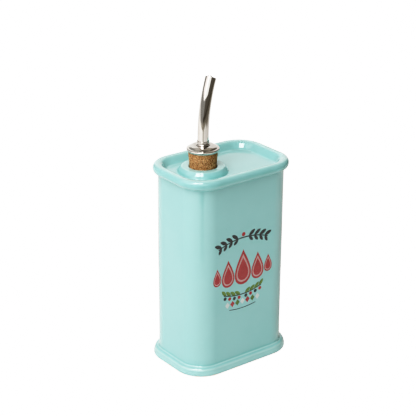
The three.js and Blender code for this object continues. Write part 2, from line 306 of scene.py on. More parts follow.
def makeCork():
    material, tree, shader, where = startMaterial("pressedCork", {"Specular IOR Level": 0.25})
    fine = addMottle(tree, where, 1500, 5, -0.22, 0.22)
    tone = addMath(tree, "ADD", readLayer(tree, "grainTone"), fine, True)
    ramp = addNode(tree, "ShaderNodeValToRGB", {0: tone})
    stops = ramp.color_ramp.elements
    for i, (place, colour) in enumerate(corkLook["tones"]):
        stop = stops[i] if i < 2 else stops.new(place)
        stop.position, stop.color = place, colour
    groove = addMath(tree, "MULTIPLY", readLayer(tree, "grainGroove"), corkLook["grooveDepth"])
    colour = mixColour(tree, groove, ramp.outputs[0], corkLook["groove"])
    pits = addSpecks(tree, where, 820, 0.30, 0.18)
    dark = addMath(tree, "MULTIPLY", pits, 0.8)
    tree.links.new(mixColour(tree, dark, colour, corkLook["pit"]), shader.inputs["Base Color"])
    tree.links.new(addMottle(tree, where, 700, 3, 0.72, 0.95), shader.inputs["Roughness"])
    rough = addMath(tree, "SUBTRACT", fine, addMath(tree, "MULTIPLY", pits, 0.6))
    addBump(tree, shader, rough, 0.5, 0.0003)
    return material


chromeLook = {
    "colour": (0.68, 0.65, 0.61, 1), "dull": (0.62, 0.585, 0.54, 1),
    "low": 0.04, "high": 0.14, "scale": 240,
}
steelLook = {
    "colour": (0.60, 0.585, 0.56, 1), "dull": (0.50, 0.47, 0.43, 1),
    "low": 0.20, "high": 0.40, "scale": 300,
}


def makeMetal(name, look):
    material, tree, shader, where = startMaterial(name, {"Metallic": 1.0})
    inputs = {"Vector": where, "Scale": look["scale"], "Low": look["low"], "High": look["high"]}
    marks = useGroup(tree, polish, inputs)
    haze = addMottle(tree, where, 140, 4, 0, 0.5)
    tree.links.new(mixColour(tree, haze, look["colour"], look["dull"]), shader.inputs["Base Color"])
    tree.links.new(marks["Roughness"], shader.inputs["Roughness"])
    addBump(tree, shader, marks["Height"], 0.04, 0.0001)
    return material


glazeMaterial = makeGlaze()
corkMaterial = makeCork()
chromeMaterial = makeMetal("polishedChrome", chromeLook)
steelMaterial = makeMetal("drawnSteel", steelLook)
inkNames = list(inks)
inkMaterials = [makeInk(*ink) for ink in inks.values()]
print("materials ready")


can = {
    "length": 94.0, "depth": 63.3, "corner": 18.7, "height": 164.1, "wall": 5.0,
    "footOut": 4.4, "footEdge": 1.2, "footRing": 9.0, "recess": 1.5, "footTop": 8.0,
    "faceTop": 1.5, "shoulder": (4.05, 5.7), "waist": (1.7, 6.6), "crease": (0.25, 7.15),
    "rimOut": 3.95, "rimRoll": 3.55, "rimHeight": 7.7, "rimTouch": 1.0, "rimFillet": 1.0,
    "slopeTop": 2.0, "slopeFoot": 7.0, "slopeRound": 2.4,
    "deckDrop": 5.5, "deckFillet": 1.6, "deckThick": 5.0, "cornerExtra": 0.6, "hollowFillet": 4.0,
    "neckX": -17.7, "collarRadius": 19.9, "collarKnee": 18.95, "kneeHeight": 2.1, "kneeRound": 0.6,
    "collarTop": 16.6, "collarHeight": 4.8, "collarRound": 1.0, "collarFillet": 0.8,
    "boreRadius": 10.659, "lip": 1.6, "boreEdge": 0.8, "wave": 0.09, "drawIn": 0.2,
    "cornerSteps": 20, "longSteps": 24, "shortSteps": 12, "wallSteps": 58, "neckSteps": 152,
    "deckCuts": 7, "firstStride": 0.6, "edgeLoop": 0.7, "flatEdge": 0.3,
    # glaze runs under the rim: corner signs, angle, low end, half width
    "runs": [(-1, -1, 52, 144, 2.2), (1, -1, 70, 132, 1.5), (1, 1, 35, 147, 2.0), (-1, 1, 60, 150, 1.8)],
    # shares of pooled glaze with painted shade, and of thin glaze with painted light, by place
    "pooledAndShaded": {"well": 0.12, "collar": 0.15, "foot": 0.4, "waist": 0.08, "shadeUnderRim": 0.5, "side": 0.35,
               "run": 0.3},
    "thin": {"rim": 0.5, "collarEdge": 0.4, "collarTop": 0.25, "lip": 0.5, "shoulder": 0.7, "face": 0.25,
             "ledge": 0.6, "corner": 0.16, "deck": 0.12},
}
coreX = can["length"] / 2 - can["corner"]
coreY = can["depth"] / 2 - can["corner"]
deckZ = can["height"] - can["deckDrop"]
collarZ = deckZ + can["collarHeight"]
ceilingZ = deckZ - can["deckThick"]
floorZ = can["recess"] + can["wall"]


# Path through corners, each eased by its own length
def easedPath(corners, eases, steps):
    points = [corners[0]]
    for before, corner, after, ease in zip(corners, corners[1:], corners[2:], eases):
        middle = Vector(corner)
        near = middle + (Vector(before) - middle).normalized() * ease
        far = middle + (Vector(after) - middle).normalized() * ease
        if (near - Vector(points[-1])).length > 0.05:
            points += linePoints(points[-1], tuple(near), 4)
        points += bowPoints(points[-1], corner, tuple(far), steps)
    return points + linePoints(points[-1], corners[-1], 3)


# Outside of the can as (distance out from the wall, height), from the underside to the deck
def outsideProfile():
    ring = can["footOut"] - can["footRing"]
    edge = can["footEdge"]
    deep = can["recess"]
    points = [(ring - deep - 0.8, deep), (ring - deep, deep)]
    points += bowPoints(points[-1], (ring, deep), (ring, 0), 8)
    points += linePoints(points[-1], (can["footOut"] - edge, 0), 6)
    points += arcPoints(can["footOut"] - edge, edge, edge, edge, -quarter, 0, 8)
    points.append((can["footOut"], can["faceTop"]))
    points += bowPoints(points[-1], can["shoulder"], can["waist"], 14)
    points += bowPoints(points[-1], can["crease"], (0, can["footTop"]), 12)
    # the roll of the rim is an ellipse, and the fillet under it meets it along its tangent
    halfWide, halfHigh = can["rimRoll"], can["rimHeight"] / 2
    rimX, rimZ = can["rimOut"] - halfWide, can["height"] - halfHigh
    start = -math.acos((can["rimTouch"] - rimX) / halfWide)
    touch = (rimX + halfWide * math.cos(start), rimZ + halfHigh * math.sin(start))
    slope = -(halfHigh * math.cos(start)) / (halfWide * math.sin(start))
    cornerZ = touch[1] - slope * touch[0]
    wallTop = cornerZ - can["rimFillet"]
    points.append((0, can["footTop"] + can["edgeLoop"]))
    points += linePoints(points[-1], (0, wallTop - can["edgeLoop"]), can["wallSteps"])
    points.append((0, wallTop))
    points += bowPoints(points[-1], (0, cornerZ), touch, 7)
    points += arcPoints(rimX, rimZ, halfWide, halfHigh, start, quarter, 22)
    inner = [points[-1], (-can["slopeTop"], can["height"]), (-can["slopeFoot"], deckZ),
             (-can["slopeFoot"] - can["deckFillet"] - can["flatEdge"], deckZ)]
    return points + easedPath(inner, (can["slopeRound"], can["deckFillet"]), 10)[1:]


# The hollow inside, from its ceiling down to its floor
def hollowProfile():
    side, fillet, flat = -can["wall"], can["hollowFillet"], can["flatEdge"]
    points = [(side - fillet - flat, ceilingZ), (side - fillet, ceilingZ)]
    points += arcPoints(side - fillet, ceilingZ - fillet, fillet, fillet, quarter, 0, 6)
    points += linePoints(points[-1], (side, floorZ + fillet), 12)
    points += arcPoints(side - fillet, floorZ + fillet, fillet, fillet, 0, -quarter, 6)
    points.append((side - fillet - flat, floorZ))
    return points


# Collar and bore as (radius, height), from the deck over the lip and down to the hollow
def collarProfile():
    lip, bore, edge = can["lip"], can["boreRadius"], can["boreEdge"]
    corners = [(can["collarRadius"] + can["collarFillet"] + 0.2, deckZ), (can["collarRadius"], deckZ),
               (can["collarKnee"], deckZ + can["kneeHeight"]), (can["collarTop"], collarZ),
               (bore + lip, collarZ)]
    points = easedPath(corners, (can["collarFillet"], can["kneeRound"], can["collarRound"]), 10)
    points += arcPoints(bore + lip, collarZ - lip, lip, lip, quarter, 2 * quarter, 9)
    points += linePoints(points[-1], (bore, ceilingZ + edge), 5)
    points += arcPoints(bore + edge, ceilingZ + edge, edge, edge, 2 * quarter, 3 * quarter, 4)
    points.append((bore + edge + 0.4, ceilingZ))
    return points


# Sweeps a profile round the four corners and along the four sides
def sweepWall(bm, profile):
    geom = drawChain(bm, [(coreX + can["corner"] + u, coreY, z) for u, z in profile])
    longSide, shortSide = (2 * coreX, can["longSteps"]), (2 * coreY, can["shortSteps"])
    legs = [((coreX, coreY, 0), (-1, 0), longSide), ((-coreX, coreY, 0), (0, -1), shortSide),
            ((-coreX, -coreY, 0), (1, 0), longSide), ((coreX, -coreY, 0), (0, 1), shortSide)]
    first = can["firstStride"]
    for centre, way, (length, steps) in legs:
        turned = bmesh.ops.spin(bm, geom=geom, cent=centre, axis=(0, 0, 1), angle=quarter,
                                steps=can["cornerSteps"], use_merge=False, use_duplicate=False)
        geom = turned["geom_last"]
        strides = [first] + [(length - 2 * first) / (steps - 2)] * (steps - 2) + [first]
        for stride in strides:
            edges = [g for g in geom if isinstance(g, bmesh.types.BMEdge)]
            verts, edges = pushEdges(bm, edges, (way[0] * stride, way[1] * stride, 0))
            geom = verts + edges


def openEdges(bm, level):
    return [e for e in bm.edges if e.is_boundary and all(abs(v.co.z - level) < 0.01 for v in e.verts)]


def outFromWall(co):
    qx, qy = abs(co.x) - coreX, abs(co.y) - coreY
    return math.hypot(max(qx, 0), max(qy, 0)) + min(max(qx, qy), 0) - can["corner"]


def neckDistance(co):
    return math.hypot(co.x - can["neckX"], co.y)


# Slight unevenness left by casting and drying, along the normal: the walls draw in a little above the foot
def handWave(co):
    fade = smoothStep(1.6, 5, co.z) * smoothStep(12.5, 15, neckDistance(co))
    waist = can["drawIn"] * smoothStep(9, 22, co.z) * smoothStep(95, 35, co.z)
    ripple = noise.noise(co * 0.05) + 0.3 * noise.noise(co * 0.11 + Vector((7, 3, 1)))
    return -waist + fade * can["wave"] * ripple


# How far round a corner a point is: 0 on a flat side, 1 in the middle of the corner
def cornerShare(co):
    qx, qy = abs(co.x) - coreX, abs(co.y) - coreY
    if qx <= 0 or qy <= 0:
        return 0
    return math.sin(2 * math.atan2(qy, qx)) ** 0.7


# A run of thicker glaze that came down a corner from under the rim
def glazeRun(co, run):
    signX, signY, angle, low, width = run
    if co.z > 156 or co.z < low - 6 or co.x * signX < coreX or co.y * signY < coreY:
        return 0
    here = math.degrees(math.atan2(abs(co.y) - coreY, abs(co.x) - coreX))
    across = (here - angle) * math.pi / 180 * can["corner"]
    return can["pooledAndShaded"]["run"] * bell(across, 0, width) * smoothStep(low - 6, low + 6, co.z)


# Where glaze gathers while it melts, together with painted shade: darker teal in the creases and under the
# rim, where shade and dark reflections fall; the runs down the corners are glaze alone
def glazePoolAndShade(co):
    u, r, z = outFromWall(co), neckDistance(co), co.z
    share = can["pooledAndShaded"]
    if z > deckZ - 1 and u < -4:
        # painted shade: the well darkens at the foot of the rim's inner slope, where dark reflections fall;
        # partly pooled glaze
        well = share["well"] * bell(u, -6.6, 0.8)
        # painted shade: the collar's lower side darkens where the rim beside it shades it; partly pooled
        # glaze
        collar = share["collar"] * smoothStep(17.6, 19.0, r) * smoothStep(21.6, 20.4, r)
        return max(well, collar)
    # painted shade: a dark line in the crease at the top of the foot and at its waist; partly pooled glaze
    foot = share["foot"] * bell(z, can["footTop"], 0.5) * smoothStep(1.2, 0.3, u)
    foot += share["waist"] * bell(u, can["waist"][0], 0.35) * bell(z, can["waist"][1], 0.5)
    # painted shadow: a dark band under the rim; partly pooled glaze
    shadeUnderRim = share["shadeUnderRim"] * bell(z, 156.2, 1.0) * smoothStep(2.2, 0.6, u)
    # painted reflection: the rim's outer side is darker teal round its middle, where it mirrors the dark
    # room; partly pooled glaze
    side = share["side"] * bell(z, 160.0, 1.6) * smoothStep(1.0, 3.0, u)
    return max(foot, shadeUnderRim, side, *[glazeRun(co, run) for run in can["runs"]])


# Where it runs off and stays thin, together with painted light: paler on the deck, the rim's crest and the
# foot's upward faces, where light and bright reflections fall
def glazeThinAndLit(co):
    u, r, z = outFromWall(co), neckDistance(co), co.z
    share = can["thin"]
    # painted reflection: the rim's crest is paler where it mirrors the bright sky; partly thin glaze
    rim = share["rim"] * bell(z, can["height"], 0.7) if u > -6 else 0
    collar = max(share["collarEdge"] * bell(r, 16.4, 0.7), share["collarTop"] * smoothStep(16.6, 15.8, r))
    collar *= smoothStep(collarZ - 1.6, collarZ - 0.6, z)
    lip = share["lip"] * bell(r, 11.8, 0.8) * smoothStep(collarZ - 1.6, collarZ - 0.3, z)
    # painted light: the foot's upward-facing shoulder is paler where light falls from above; partly thin
    # glaze
    shoulder = share["shoulder"] * bell(u, 3.2, 0.8) * bell(z, 5.4, 0.9)
    # painted light: the foot's face grows paler towards its top; partly thin glaze
    face = share["face"] * smoothStep(3.0, 3.8, u) * smoothStep(0.2, 4.0, z) if z < can["footTop"] else 0
    # painted light: the foot's ledge is paler where light falls from above; partly thin glaze
    ledge = share["ledge"] * bell(u, 0.8, 0.5) * bell(z, 7.1, 0.6)
    corner, deck = 0, 0
    if u > -4:
        corner = share["corner"] * cornerShare(co) * smoothStep(9, 14, z) * smoothStep(157, 152, z)
    if z > deckZ - 1 and u < -4.5:
        # painted light: the flat deck is paler, standing in for the light and white reflection it catches
        deck = share["deck"] * smoothStep(-7.6, -8.4, u) * smoothStep(20.4, 22.3, r)
    return max(rim, collar, lip, shoulder, face, ledge, corner, deck)


# Inside the rim the corners grow wider from the crest down to the deck
def widenCorners(bm):
    crest = can["rimOut"] - can["rimRoll"]
    for v in [v for v in bm.verts if v.co.z > deckZ - 0.01]:
        u = outFromWall(v.co)
        extra = can["cornerExtra"] * min(1, max(0, (crest - u) / (crest + can["slopeFoot"])))
        grown = 1 + extra / (can["corner"] + u)
        for axis, core in ((0, coreX), (1, coreY)):
            past = abs(v.co[axis]) - core
            if past < -0.001:
                v.co[axis] *= (core - extra) / core
            else:
                v.co[axis] = math.copysign(core - extra + past * grown, v.co[axis])


def makeCan():
    bm = bmesh.new()
    sweepWall(bm, outsideProfile())
    widenCorners(bm)
    sweepWall(bm, hollowProfile())
    turnProfile(bm, collarProfile(), (can["neckX"], 0), can["neckSteps"], False)
    bmesh.ops.remove_doubles(bm, verts=bm.verts, dist=mergeDistance)
    for level in (deckZ, ceilingZ):
        bridge = bmesh.ops.bridge_loops(bm, edges=openEdges(bm, level))
        bmesh.ops.subdivide_edges(bm, edges=bridge["edges"], cuts=can["deckCuts"], use_grid_fill=True)
    for level in (can["recess"], floorZ):
        bmesh.ops.edgeloop_fill(bm, edges=openEdges(bm, level))
    closeShell(bm)
    bm.normal_update()
    # the two layers carry pooled glaze with painted shade, and thin glaze with painted light
    poolAndShade, thin = bm.verts.layers.float.new("glazePoolAndShade"), bm.verts.layers.float.new("glazeThinAndLit")
    outside = [v for v in bm.verts if outFromWall(v.co) > -4.9 or v.co.z > deckZ - 0.1]
    for v in outside:
        v[poolAndShade], v[thin] = glazePoolAndShade(v.co), glazeThinAndLit(v.co)
    moves = [(v, v.normal * handWave(v.co)) for v in outside]
    for v, move in moves:
        v.co += move
    return finishPiece("glazed_can", bm, [glazeMaterial], "can", "ceramic_body")


makeCan()


cork = {
    "topZ": 176.4, "length": 27.5, "topRadius": 11.6, "taper": 0.085, "edge": 0.7, "hole": 4.6, "seat": 15,
    "around": 320, "seenSteps": 58, "grain": 0.74, "relief": 0.12,
}


def makeCorkPiece():
    top, low = cork["topZ"], cork["topZ"] - cork["length"]
    wide, taper = cork["topRadius"], cork["taper"]
    lowRadius = wide - taper * cork["length"]
    edge, hole, seat = cork["edge"], cork["hole"], cork["seat"]
    points = [(hole, top)]
    points += linePoints(points[-1], (wide - edge, top), 12)
    points += bowPoints(points[-1], (wide, top), (wide - taper * edge, top - edge), 4)
    points += linePoints(points[-1], (wide - taper * seat, top - seat), cork["seenSteps"])
    points += linePoints(points[-1], (lowRadius + taper * edge, low + edge), 20)
    points += bowPoints(points[-1], (lowRadius, low), (lowRadius - edge, low), 4)
    points += linePoints(points[-1], (hole, low), 8)
    points += linePoints(points[-1], (hole, top), 20)[:-1]
    bm = bmesh.new()
    turnProfile(bm, points, (can["neckX"], 0), cork["around"], True)
    closeShell(bm)
    bm.normal_update()
    tone, groove = bm.verts.layers.float.new("grainTone"), bm.verts.layers.float.new("grainGroove")
    moves = []
    for v in bm.verts:
        spots, centres = noise.voronoi(v.co / cork["grain"])
        gap = smoothStep(0.16, 0.02, spots[1] - spots[0])
        pick = 0.5 + 0.5 * noise.noise(centres[0] * 5.7)
        v[tone] = smoothStep(0.12, 0.88, pick)
        v[groove] = gap
        skin = smoothStep(hole + 0.3, hole + 1.2, neckDistance(v.co))
        moves.append((v, -skin * cork["relief"] * (gap + 0.5 * (1 - pick))))
    for v, depth in moves:
        v.co += v.normal * depth
    return finishPiece("pressed_cork", bm, [corkMaterial], "stopper", "cork_stopper")


makeCorkPiece()


capPlate = {
    "lowZ": 176.7, "radius": 12.7, "topZ": 180.3, "flat": 5.7, "brow": 11.3, "browZ": 178.2, "edgeZ": 177.3,
    "skirtZ": 175.4, "skirtRadius": 11.85, "hole": 4.6, "fold": 0.3, "hem": 0.15, "edgeEase": 0.45,
    "domePull": 2.4, "around": 128,
}


# Shallow dome that rolls over at its edge and hangs a little way down round the cork
def makeCapPlate():
    low, top, hole, out = capPlate["lowZ"], capPlate["topZ"], capPlate["hole"], capPlate["radius"]
    brow, browZ, edgeZ = capPlate["brow"], capPlate["browZ"], capPlate["edgeZ"]
    skirt, inner = capPlate["skirtZ"], capPlate["skirtRadius"]
    fold, ease = capPlate["fold"], capPlate["edgeEase"]
    points = [(hole, low), (inner - fold, low)]
    points += bowPoints(points[-1], (inner, low), (inner, low - fold), 4)
    points += linePoints(points[-1], (inner, skirt + fold), 2)
    points += bowPoints(points[-1], (inner, skirt), (inner + capPlate["hem"], skirt), 4)
    points += bowPoints(points[-1], (out, skirt + ease), (out, edgeZ), 12)
    points += bowPoints(points[-1], (out, browZ - ease), (brow, browZ), 14)
    points += bowPoints(points[-1], (brow - capPlate["domePull"], top), (capPlate["flat"], top), 16)
    points += linePoints(points[-1], (hole + fold, top), 3)
    points += bowPoints(points[-1], (hole, top), (hole, top - fold), 3)
    bm = bmesh.new()
    turnProfile(bm, points, (can["neckX"], 0), capPlate["around"], True)
    closeShell(bm)
    return finishPiece("cap_plate", bm, [chromeMaterial], "pourer", "pourer_flange")


makeCapPlate()


ferrule = {
    "lowZ": 180.4, "height": 3.1, "foot": 5.5, "footEdge": 0.3, "chamfer": 0.15, "neck": 4.62,
    "bead": 4.8, "beadHeight": 1.1, "hole": 4.4, "holeRound": 0.2, "around": 96,
}


def makeFerrule():
    low, neck, bead, hole = ferrule["lowZ"], ferrule["neck"], ferrule["bead"], ferrule["hole"]
    foot, chamfer, footTop = ferrule["foot"], ferrule["chamfer"], low + ferrule["footEdge"]
    top = low + ferrule["height"]
    beadLow = top - ferrule["beadHeight"]
    points = [(hole, low), (foot - chamfer, low), (foot, low + chamfer), (foot, footTop)]
    points += bowPoints(points[-1], (neck, footTop), (neck, beadLow), 12)
    points += bowPoints(points[-1], (bead, beadLow), (bead, beadLow + ferrule["beadHeight"] / 2), 6)
    points += bowPoints(points[-1], (bead, top), (neck, top), 6)
    points += bowPoints(points[-1], (hole, top), (hole, top - ferrule["holeRound"]), 3)
    bm = bmesh.new()
    turnProfile(bm, points, (can["neckX"], 0), ferrule["around"], True)
    closeShell(bm)
    return finishPiece("spout_collar_ring", bm, [chromeMaterial], "pourer", "spout_ferrule")


makeFerrule()


spout = {
    "radius": 4.3, "wall": 0.6, "lowZ": 143.9, "offset": 0, "past": 0, "lip": 0.16, "sides": 72,
    "bendZ": 186.7, "bendRadius": 95.0, "bendAngle": 27.6, "heading": 21.5,
    "riseSteps": 12, "bendSteps": 44,
}
breather = {
    "radius": 1.5, "wall": 0.45, "lowZ": 131.9, "offset": 1.9, "past": 0.8, "lip": 0.12, "sides": 40,
}


# One wall of a tube that runs up the neck's axis and then bends over towards +X
def sweepTube(bm, tube, radius):
    place = Matrix.Translation((-tube["offset"], 0, tube["lowZ"]))
    ring = bmesh.ops.create_circle(bm, segments=tube["sides"], radius=radius, matrix=place)["verts"]
    first = edges = list({e for v in ring for e in v.link_edges})
    rise = (spout["bendZ"] - tube["lowZ"]) / spout["riseSteps"]
    for i in range(spout["riseSteps"]):
        verts, edges = pushEdges(bm, edges, (0, 0, rise))
    angle = math.radians(spout["bendAngle"])
    turned = bmesh.ops.spin(bm, geom=verts + edges, cent=(spout["bendRadius"], 0, spout["bendZ"]),
                            axis=(0, 1, 0), angle=angle, steps=spout["bendSteps"],
                            use_merge=False, use_duplicate=False)
    edges = [g for g in turned["geom_last"] if isinstance(g, bmesh.types.BMEdge)]
    past = tube["past"]
    if past:
        verts, edges = pushEdges(bm, edges, (past * math.sin(angle), 0, past * math.cos(angle)))
    return first, edges


def makeTube(name, node, tube, material):
    bm = bmesh.new()
    outer = sweepTube(bm, tube, tube["radius"])
    inner = sweepTube(bm, tube, tube["radius"] - tube["wall"])
    rims = []
    for a, b in zip(outer, inner):
        bmesh.ops.bridge_loops(bm, edges=a + b)
        rims += a + b
    bmesh.ops.recalc_face_normals(bm, faces=bm.faces)
    bmesh.ops.bevel(bm, geom=rims, offset=tube["lip"], offset_type="OFFSET", segments=3, profile=0.5,
                    affect="EDGES", clamp_overlap=True, material=-1)
    closeShell(bm)
    turn = Matrix.Rotation(math.radians(spout["heading"]), 4, "Z")
    bmesh.ops.transform(bm, matrix=Matrix.Translation((can["neckX"], 0, 0)) @ turn, verts=bm.verts)
    return finishPiece(name, bm, [material], "pourer", node)


makeTube("bent_spout", "spout_tube", spout, chromeMaterial)
makeTube("air_tube", "breather_tube", breather, steelMaterial)


# Sizes in the plane of the print: drops and lozenges by place, stems by the arc that they lie on
frontPrint = {
    "centre": (-2.0, 82.0), "lift": 0.02, "film": 0.05, "cell": 3.0, "cells": 12,
    "drops": [(0, 3.0, 15.0, 30), (-14.6, 0.6, 11.4, 23), (14.6, 0.6, 11.4, 23),
              (-25.2, 0.0, 7.2, 15), (25.2, 0.0, 7.2, 15)],
    "dropRings": [(1.0, None), (0.80, "red"), (0.66, "blush")],
    "twig": {"middle": -34.0, "radius": 62.0, "start": 67, "sweep": 46, "width": 0.9,
             "first": 70, "step": 5.0, "leaves": 9, "lean": 50, "gap": 0.35,
             "upper": (7.2, 3.0), "lower": (5.6, 2.6), "berry": 1.7, "berryUp": 2.6},
    "sprig": {"middle": 34.0, "radius": 54.5, "start": 250, "sweep": 40, "width": 0.8,
              "first": 252.5, "step": 5.0, "leaves": 8, "lean": 58, "gap": 0.3,
              "leaf": (6.4, 2.9), "berry": 1.5, "berryOut": 1.0, "berryDown": 2.2},
    "lozenges": {"count": 7, "first": -15.0, "step": 5.0, "level": -26.6, "radius": 2.7, "stretch": 0.82,
                 "inks": ("leaf", "white", "red")},
    "fineBow": {"middle": 36, "radius": 68.5, "start": 259, "sweep": 22, "width": 0.6},
}


# Flat shapes of the print, drawn lying down and stood up on the front wall when they are all there
def layDown(bm, verts, x, y, turn):
    place = Matrix.Translation((x, y, 0)) @ Matrix.Rotation(math.radians(turn), 4, "Z")
    bmesh.ops.transform(bm, matrix=place, verts=verts)


def faceOf(verts):
    return next(f for f in verts[0].link_faces)


# A drop in three steps: a red edge, a pale line and a red heart
def printDrop(bm, x, y, width, height):
    outer = None
    for share, ink in frontPrint["dropRings"]:
        verts = bmesh.ops.create_circle(bm, segments=60, radius=1)["verts"]
        edges = list({e for v in verts for e in v.link_edges})
        for v in verts:
            v.co.x *= 1.5 * (0.5 - 0.5 * v.co.y) ** 0.7
        size = Vector((width / 2 * share, height / 2 * share - 0.02 * height * (1 - share), 1))
        bmesh.ops.scale(bm, vec=size, verts=verts)
        layDown(bm, verts, x, y - 0.16 * height * (1 - share), 0)
        if outer:
            for f in bmesh.ops.bridge_loops(bm, edges=outer + edges)["faces"]:
                f.material_index = inkNames.index(ink)
        outer = edges
    for f in bmesh.ops.edgeloop_fill(bm, edges=outer)["faces"]:
        f.material_index = inkNames.index("red")


def printLeaf(bm, x, y, size, turn, shades):
    length, width = size
    verts = bmesh.ops.create_circle(bm, cap_ends=True, segments=24, radius=1)["verts"]
    for v in verts:
        v.co.x *= max(0.0, 1 - v.co.y ** 2) ** 0.3
    bmesh.ops.scale(bm, vec=(width / 2, length / 2, 1), verts=verts)
    bmesh.ops.translate(bm, vec=(0, length / 2, 0), verts=verts)
    face = faceOf(verts)
    whole = verts + list(face.edges) + [face]
    cut = bmesh.ops.bisect_plane(bm, geom=whole, plane_co=(0, 0, 0), plane_no=(1, 0, 0))["geom"]
    halves = {f for f in cut if isinstance(f, bmesh.types.BMFace)}
    for f in halves:
        f.material_index = inkNames.index(shades[0] if f.calc_center_median().x < 0 else shades[1])
    layDown(bm, list({v for f in halves for v in f.verts}), x, y, turn)


def printStem(bm, stem):
    begin, middle, half = math.radians(stem["start"]), stem["middle"], stem["width"] / 2
    sides = (stem["radius"] - half, stem["radius"] + half)
    ends = [(r * math.cos(begin), middle + r * math.sin(begin), 0) for r in sides]
    before = set(bm.faces)
    bmesh.ops.spin(bm, geom=drawChain(bm, ends), cent=(0, middle, 0), axis=(0, 0, 1),
                   angle=math.radians(stem["sweep"]), steps=24, use_merge=False, use_duplicate=False)
    for f in set(bm.faces) - before:
        f.material_index = inkNames.index("dark")


# Place of a leaf along a stem, with the angle of the arc there
def leafPlace(stem, i):
    angle = stem["first"] + stem["step"] * i
    turn = math.radians(angle)
    return stem["radius"] * math.cos(turn), stem["middle"] + stem["radius"] * math.sin(turn), angle


def printDot(bm, x, y, radius, ink, sides=24, stretch=1.0):
    verts = bmesh.ops.create_circle(bm, cap_ends=True, segments=sides, radius=radius)["verts"]
    bmesh.ops.scale(bm, vec=(stretch, 1, 1), verts=verts)
    layDown(bm, verts, x, y, 0)
    faceOf(verts).material_index = inkNames.index(ink)


# Twig over the drops: a stem with leaves along both sides and a berry in its middle
def printTwig(bm):
    twig = frontPrint["twig"]
    printStem(bm, twig)
    for i in range(twig["leaves"]):
        x, y, angle = leafPlace(twig, i)
        lean = twig["lean"] if angle > 90 else -twig["lean"]
        if angle != 90:
            printLeaf(bm, x, y + twig["gap"], twig["upper"], angle - 90 + lean, ("dark", "dark"))
            printLeaf(bm, x, y - twig["gap"], twig["lower"], angle - 270 - lean, ("dark", "dark"))
    printDot(bm, 0, twig["middle"] + twig["radius"] + twig["berryUp"], twig["berry"], "red")


# Sprig under the drops, with berries under its leaves
def printSprig(bm):
    sprig = frontPrint["sprig"]
    printStem(bm, sprig)
    for i in range(sprig["leaves"]):
        x, y, angle = leafPlace(sprig, i)
        way = 1 if i > 3 else -1
        turn = angle - 270 - way * sprig["lean"]
        printLeaf(bm, x, y + sprig["gap"], sprig["leaf"], turn, ("leaf", "leafLight"))
        ink = "red" if i % 2 else "dark"
        printDot(bm, x + way * sprig["berryOut"], y - sprig["berryDown"], sprig["berry"], ink)


# Row of small lozenges over a fine bow
def printLozenges(bm):
    row = frontPrint["lozenges"]
    for i in range(row["count"]):
        ink = row["inks"][(i + 1) % 3]
        printDot(bm, row["first"] + row["step"] * i, row["level"], row["radius"], ink, 4, row["stretch"])
    printStem(bm, frontPrint["fineBow"])


def makePrint():
    bm = bmesh.new()
    for drop in frontPrint["drops"]:
        printDrop(bm, *drop)
    printTwig(bm)
    printSprig(bm)
    printLozenges(bm)
    bm.normal_update()
    for f in bm.faces:
        if f.normal.z < 0:
            f.normal_flip()
    # cut into cells, so that the film follows the wave of the wall
    for way in ((1, 0, 0), (0, 1, 0)):
        for i in range(-frontPrint["cells"], frontPrint["cells"] + 1):
            spot = [i * frontPrint["cell"] * n for n in way]
            whole = bm.verts[:] + bm.edges[:] + bm.faces[:]
            bmesh.ops.bisect_plane(bm, geom=whole, plane_co=spot, plane_no=way)
    bmesh.ops.rotate(bm, cent=(0, 0, 0), matrix=Matrix.Rotation(quarter, 3, "X"), verts=bm.verts)
    x, z = frontPrint["centre"]
    front = -can["depth"] / 2
    bmesh.ops.translate(bm, vec=(x, front, z), verts=bm.verts)
    film = bmesh.ops.extrude_face_region(bm, geom=bm.faces[:])["geom"]
    raised = {g for g in film if isinstance(g, bmesh.types.BMVert)}
    for v in bm.verts:
        v.co.y -= handWave(Vector((v.co.x, front, v.co.z))) + frontPrint["lift"]
    bmesh.ops.translate(bm, vec=(0, -frontPrint["film"], 0), verts=list(raised))
    bmesh.ops.recalc_face_normals(bm, faces=bm.faces)
    for e in bm.edges:
        e.smooth = e.calc_face_angle(0) < 1
    return finishPiece("front_print", bm, inkMaterials, "can", None)


makePrint()


# Lengths in metres: where the paper ends, the dark wedge across it, and the shade behind the can
studio = {
    "floorSize": 14.0, "floorCells": 8,
    "paper": (0.76, 0.755, 0.745, 1), "paperPatch": (0.80, 0.80, 0.79, 1), "room": (0.32, 0.30, 0.26, 1),
    "leftRoom": (0.58, 0.58, 0.565, 1), "rightRoom": (0.27, 0.25, 0.22, 1),
    "front": 0.84, "right": 0.66, "fade": 0.08, "gap": 0.25, "gapFade": 0.02, "gapSlant": (0.09, 0.17),
    "shade": (0.21, 0.141, 0), "shadeReach": (0.16, 0.30), "shadeDepth": 0.55,
    "glow": 0.29, "leftGlow": 0.6, "leftFrom": (0.03, 0.12), "farGlow": 0.4, "farFrom": (0.5, 1.6),
    "farLeft": (0, 0.3), "white": 2.2, "ahead": (-0.61, -0.792, 0), "aside": (0.792, -0.61, 0),
    "left": (-0.61, 0.792, 0), "roomSide": (-0.792, 0.61, 0), "roomFade": (0.06, 0.26),
}


# Value that goes from 0 to 1 across the end of the paper
def addEnd(tree, value, end, fade):
    return addRange(tree, value, end - fade, end + fade, 0, 1, True)


